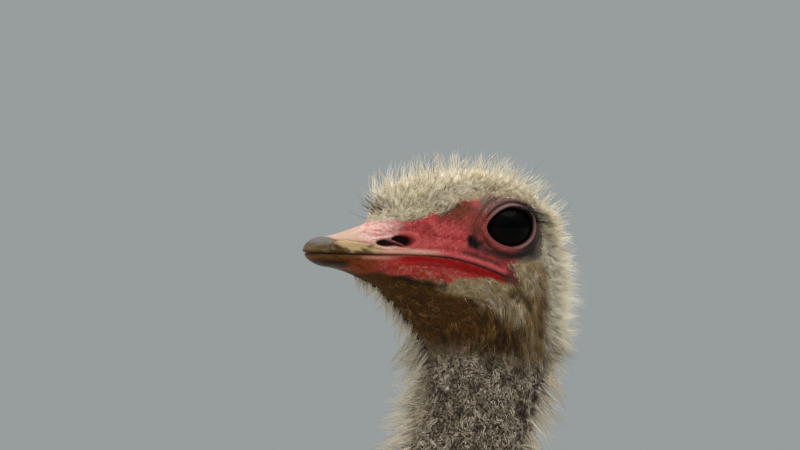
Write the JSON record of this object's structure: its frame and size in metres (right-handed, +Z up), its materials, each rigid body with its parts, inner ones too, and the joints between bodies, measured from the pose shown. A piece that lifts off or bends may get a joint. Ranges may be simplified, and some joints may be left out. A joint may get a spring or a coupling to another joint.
{
  "type": "ostrich",
  "caption": "Life-size standing male ostrich with a slender raised neck, a short broad bill, large dark eyes, folded wings, a drooping tail and long bare legs.",
  "frame": {"origin": "on the ground, under the middle of the bird's bounding box", "axes": "the bird faces -Y with its left side at +X, and stands up along +Z"},
  "size_m": [0.67, 1.3746, 2.308],
  "materials": {
    "down": "matte",
    "horn": "satin",
    "red_skin": "satin",
    "eye": "gloss",
    "neck_down": "matte",
    "trunk_plumage": "matte",
    "wing_plumage": "matte",
    "tail_plumage": "matte",
    "leg_skin": "matte",
    "shank_scutes": "satin",
    "toe_scutes": "satin",
    "claw": "satin"
  },
  "bodies": {
    "root": {"head": "down", "upper_bill": "horn", "lower_bill": "red_skin", "eye_left": "eye", "eye_right": "eye", "neck_upper": "neck_down", "neck_middle": "neck_down", "neck_lower": "neck_down", "trunk": "trunk_plumage", "tail": "tail_plumage", "wing_left": "wing_plumage", "wing_right": "wing_plumage", "upper_leg_left": "leg_skin", "upper_leg_right": "leg_skin", "lower_leg_left": "shank_scutes", "lower_leg_right": "shank_scutes", "big_toe_left": "toe_scutes", "big_toe_right": "toe_scutes", "outer_toe_left": "toe_scutes", "outer_toe_right": "toe_scutes", "big_claw_left": "claw", "big_claw_right": "claw", "outer_claw_left": "claw", "outer_claw_right": "claw"}
  },
  "joints": []
}
